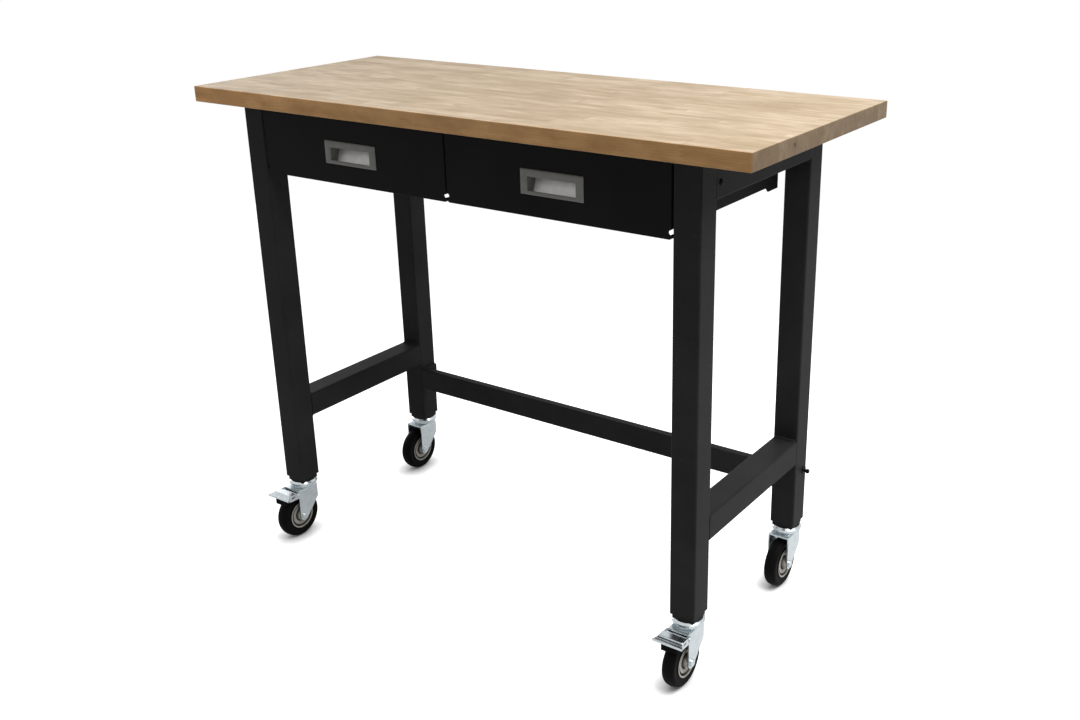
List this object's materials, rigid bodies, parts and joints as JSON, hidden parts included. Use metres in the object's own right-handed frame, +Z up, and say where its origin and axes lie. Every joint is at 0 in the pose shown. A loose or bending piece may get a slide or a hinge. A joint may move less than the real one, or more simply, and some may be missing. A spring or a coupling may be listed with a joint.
{
  "type": "wheeled workbench with drawers",
  "caption": "Wheeled workbench: solid wood top on a black square-tube frame, side-by-side steel drawers on telescopic slides, swivel casters with foot brakes in front.",
  "frame": {"origin": "on the floor, at the middle of the whole bench's footprint", "axes": "+X to the right of someone facing the drawers, +Y away from them towards the rear of the bench, +Z up"},
  "size_m": [1.22, 0.527, 0.97],
  "materials": {
    "worktop_wood": "oiled finger-jointed hardwood, satin",
    "frame_paint": "black powder coat, semi-gloss",
    "drawer_paint": "black powder coat, semi-gloss",
    "carrier_paint": "black powder coat, semi-gloss",
    "black_screws": "blackened steel, satin",
    "zinc_fasteners": "zinc plated",
    "pull_plastic": "moulded, fine matt",
    "slide_steel": "bright zinc plated",
    "plug_plastic": "moulded, matt",
    "caster_zinc": "zinc plated, slightly warm",
    "tyre_rubber": "moulded rubber, matt",
    "hub_plastic": "moulded nylon",
    "shoe_rubber": "matt"
  },
  "bodies": {
    "frame": {"apron_left": "frame_paint", "apron_right": "frame_paint", "apron_screws": "black_screws", "caster_back_left_mount": "caster_zinc", "caster_back_right_mount": "caster_zinc", "caster_front_left_mount": "caster_zinc", "caster_front_right_mount": "caster_zinc", "centre_hanger": "carrier_paint", "leg_back_left": "frame_paint", "leg_back_right": "frame_paint", "leg_front_left": "frame_paint", "leg_front_right": "frame_paint", "leg_plugs": "plug_plastic", "rear_stretcher": "frame_paint", "side_stretcher_left": "frame_paint", "side_stretcher_right": "frame_paint", "slide_carrier_left": "carrier_paint", "slide_carrier_right": "carrier_paint", "slide_inner_cabinet_left": "slide_steel", "slide_inner_cabinet_right": "slide_steel", "slide_outer_cabinet_left": "slide_steel", "slide_outer_cabinet_right": "slide_steel", "stretcher_bolts": "black_screws", "worktop": "worktop_wood", "worktop_screws": "zinc_fasteners"},
    "drawer_left": {"drawer_front_left": "drawer_paint", "drawer_box_left": "drawer_paint", "drawer_pull_left": "pull_plastic", "slide_inner_drawer_left": "slide_steel", "slide_outer_drawer_left": "slide_steel"},
    "slide_middle_left": {"slide_inner_middle_left": "slide_steel", "slide_outer_middle_left": "slide_steel"},
    "drawer_right": {"drawer_front_right": "drawer_paint", "drawer_box_right": "drawer_paint", "drawer_pull_right": "pull_plastic", "slide_inner_drawer_right": "slide_steel", "slide_outer_drawer_right": "slide_steel"},
    "slide_middle_right": {"slide_inner_middle_right": "slide_steel", "slide_outer_middle_right": "slide_steel"},
    "caster_front_left_swivel": {"caster_front_left_fork": "caster_zinc", "caster_front_left_axle": "caster_zinc"},
    "caster_front_left_wheel": {"caster_front_left_tyre": "tyre_rubber", "caster_front_left_hub": "hub_plastic"},
    "caster_front_left_brake": {"caster_front_left_pedal": "caster_zinc", "caster_front_left_shoe": "shoe_rubber"},
    "caster_front_right_swivel": {"caster_front_right_fork": "caster_zinc", "caster_front_right_axle": "caster_zinc"},
    "caster_front_right_wheel": {"caster_front_right_tyre": "tyre_rubber", "caster_front_right_hub": "hub_plastic"},
    "caster_front_right_brake": {"caster_front_right_pedal": "caster_zinc", "caster_front_right_shoe": "shoe_rubber"},
    "caster_back_left_swivel": {"caster_back_left_fork": "caster_zinc", "caster_back_left_axle": "caster_zinc"},
    "caster_back_left_wheel": {"caster_back_left_tyre": "tyre_rubber", "caster_back_left_hub": "hub_plastic"},
    "caster_back_right_swivel": {"caster_back_right_fork": "caster_zinc", "caster_back_right_axle": "caster_zinc"},
    "caster_back_right_wheel": {"caster_back_right_tyre": "tyre_rubber", "caster_back_right_hub": "hub_plastic"}
  },
  "joints": [
    {"name": "drawer_left_slide", "type": "slide", "parent": "frame", "child": "drawer_left", "axis": [0, -1, 0], "range_m": [0, 0.32]},
    {"name": "slide_middle_left_slide", "type": "slide", "parent": "frame", "child": "slide_middle_left", "axis": [0, -1, 0], "range_m": [0, 0.16]},
    {"name": "drawer_right_slide", "type": "slide", "parent": "frame", "child": "drawer_right", "axis": [0, -1, 0], "range_m": [0, 0.32]},
    {"name": "slide_middle_right_slide", "type": "slide", "parent": "frame", "child": "slide_middle_right", "axis": [0, -1, 0], "range_m": [0, 0.16]},
    {"name": "caster_front_left_swivel_turn", "type": "hinge", "parent": "frame", "child": "caster_front_left_swivel", "pos_m": [-0.485, -0.1885, 0.1185], "axis": [0, 0, 1], "continuous": true},
    {"name": "caster_front_left_wheel_spin", "type": "hinge", "parent": "caster_front_left_swivel", "child": "caster_front_left_wheel", "pos_m": [-0.485, -0.2135, 0.05], "axis": [1, 0, 0], "continuous": true},
    {"name": "caster_front_left_brake_press", "type": "hinge", "parent": "caster_front_left_swivel", "child": "caster_front_left_brake", "pos_m": [-0.485, -0.225, 0.104], "axis": [1, 0, 0], "range_deg": [0, 10]},
    {"name": "caster_front_right_swivel_turn", "type": "hinge", "parent": "frame", "child": "caster_front_right_swivel", "pos_m": [0.485, -0.1885, 0.1185], "axis": [0, 0, 1], "continuous": true},
    {"name": "caster_front_right_wheel_spin", "type": "hinge", "parent": "caster_front_right_swivel", "child": "caster_front_right_wheel", "pos_m": [0.485, -0.2135, 0.05], "axis": [1, 0, 0], "continuous": true},
    {"name": "caster_front_right_brake_press", "type": "hinge", "parent": "caster_front_right_swivel", "child": "caster_front_right_brake", "pos_m": [0.485, -0.225, 0.104], "axis": [1, 0, 0], "range_deg": [0, 10]},
    {"name": "caster_back_left_swivel_turn", "type": "hinge", "parent": "frame", "child": "caster_back_left_swivel", "pos_m": [-0.485, 0.2015, 0.1185], "axis": [0, 0, 1], "continuous": true},
    {"name": "caster_back_left_wheel_spin", "type": "hinge", "parent": "caster_back_left_swivel", "child": "caster_back_left_wheel", "pos_m": [-0.485, 0.1765, 0.05], "axis": [1, 0, 0], "continuous": true},
    {"name": "caster_back_right_swivel_turn", "type": "hinge", "parent": "frame", "child": "caster_back_right_swivel", "pos_m": [0.485, 0.2015, 0.1185], "axis": [0, 0, 1], "continuous": true},
    {"name": "caster_back_right_wheel_spin", "type": "hinge", "parent": "caster_back_right_swivel", "child": "caster_back_right_wheel", "pos_m": [0.485, 0.1765, 0.05], "axis": [1, 0, 0], "continuous": true}
  ],
  "couplings": [
    {"joint": "slide_middle_left_slide", "follows": "drawer_left_slide", "ratio": 0.5},
    {"joint": "slide_middle_right_slide", "follows": "drawer_right_slide", "ratio": 0.5}
  ]
}
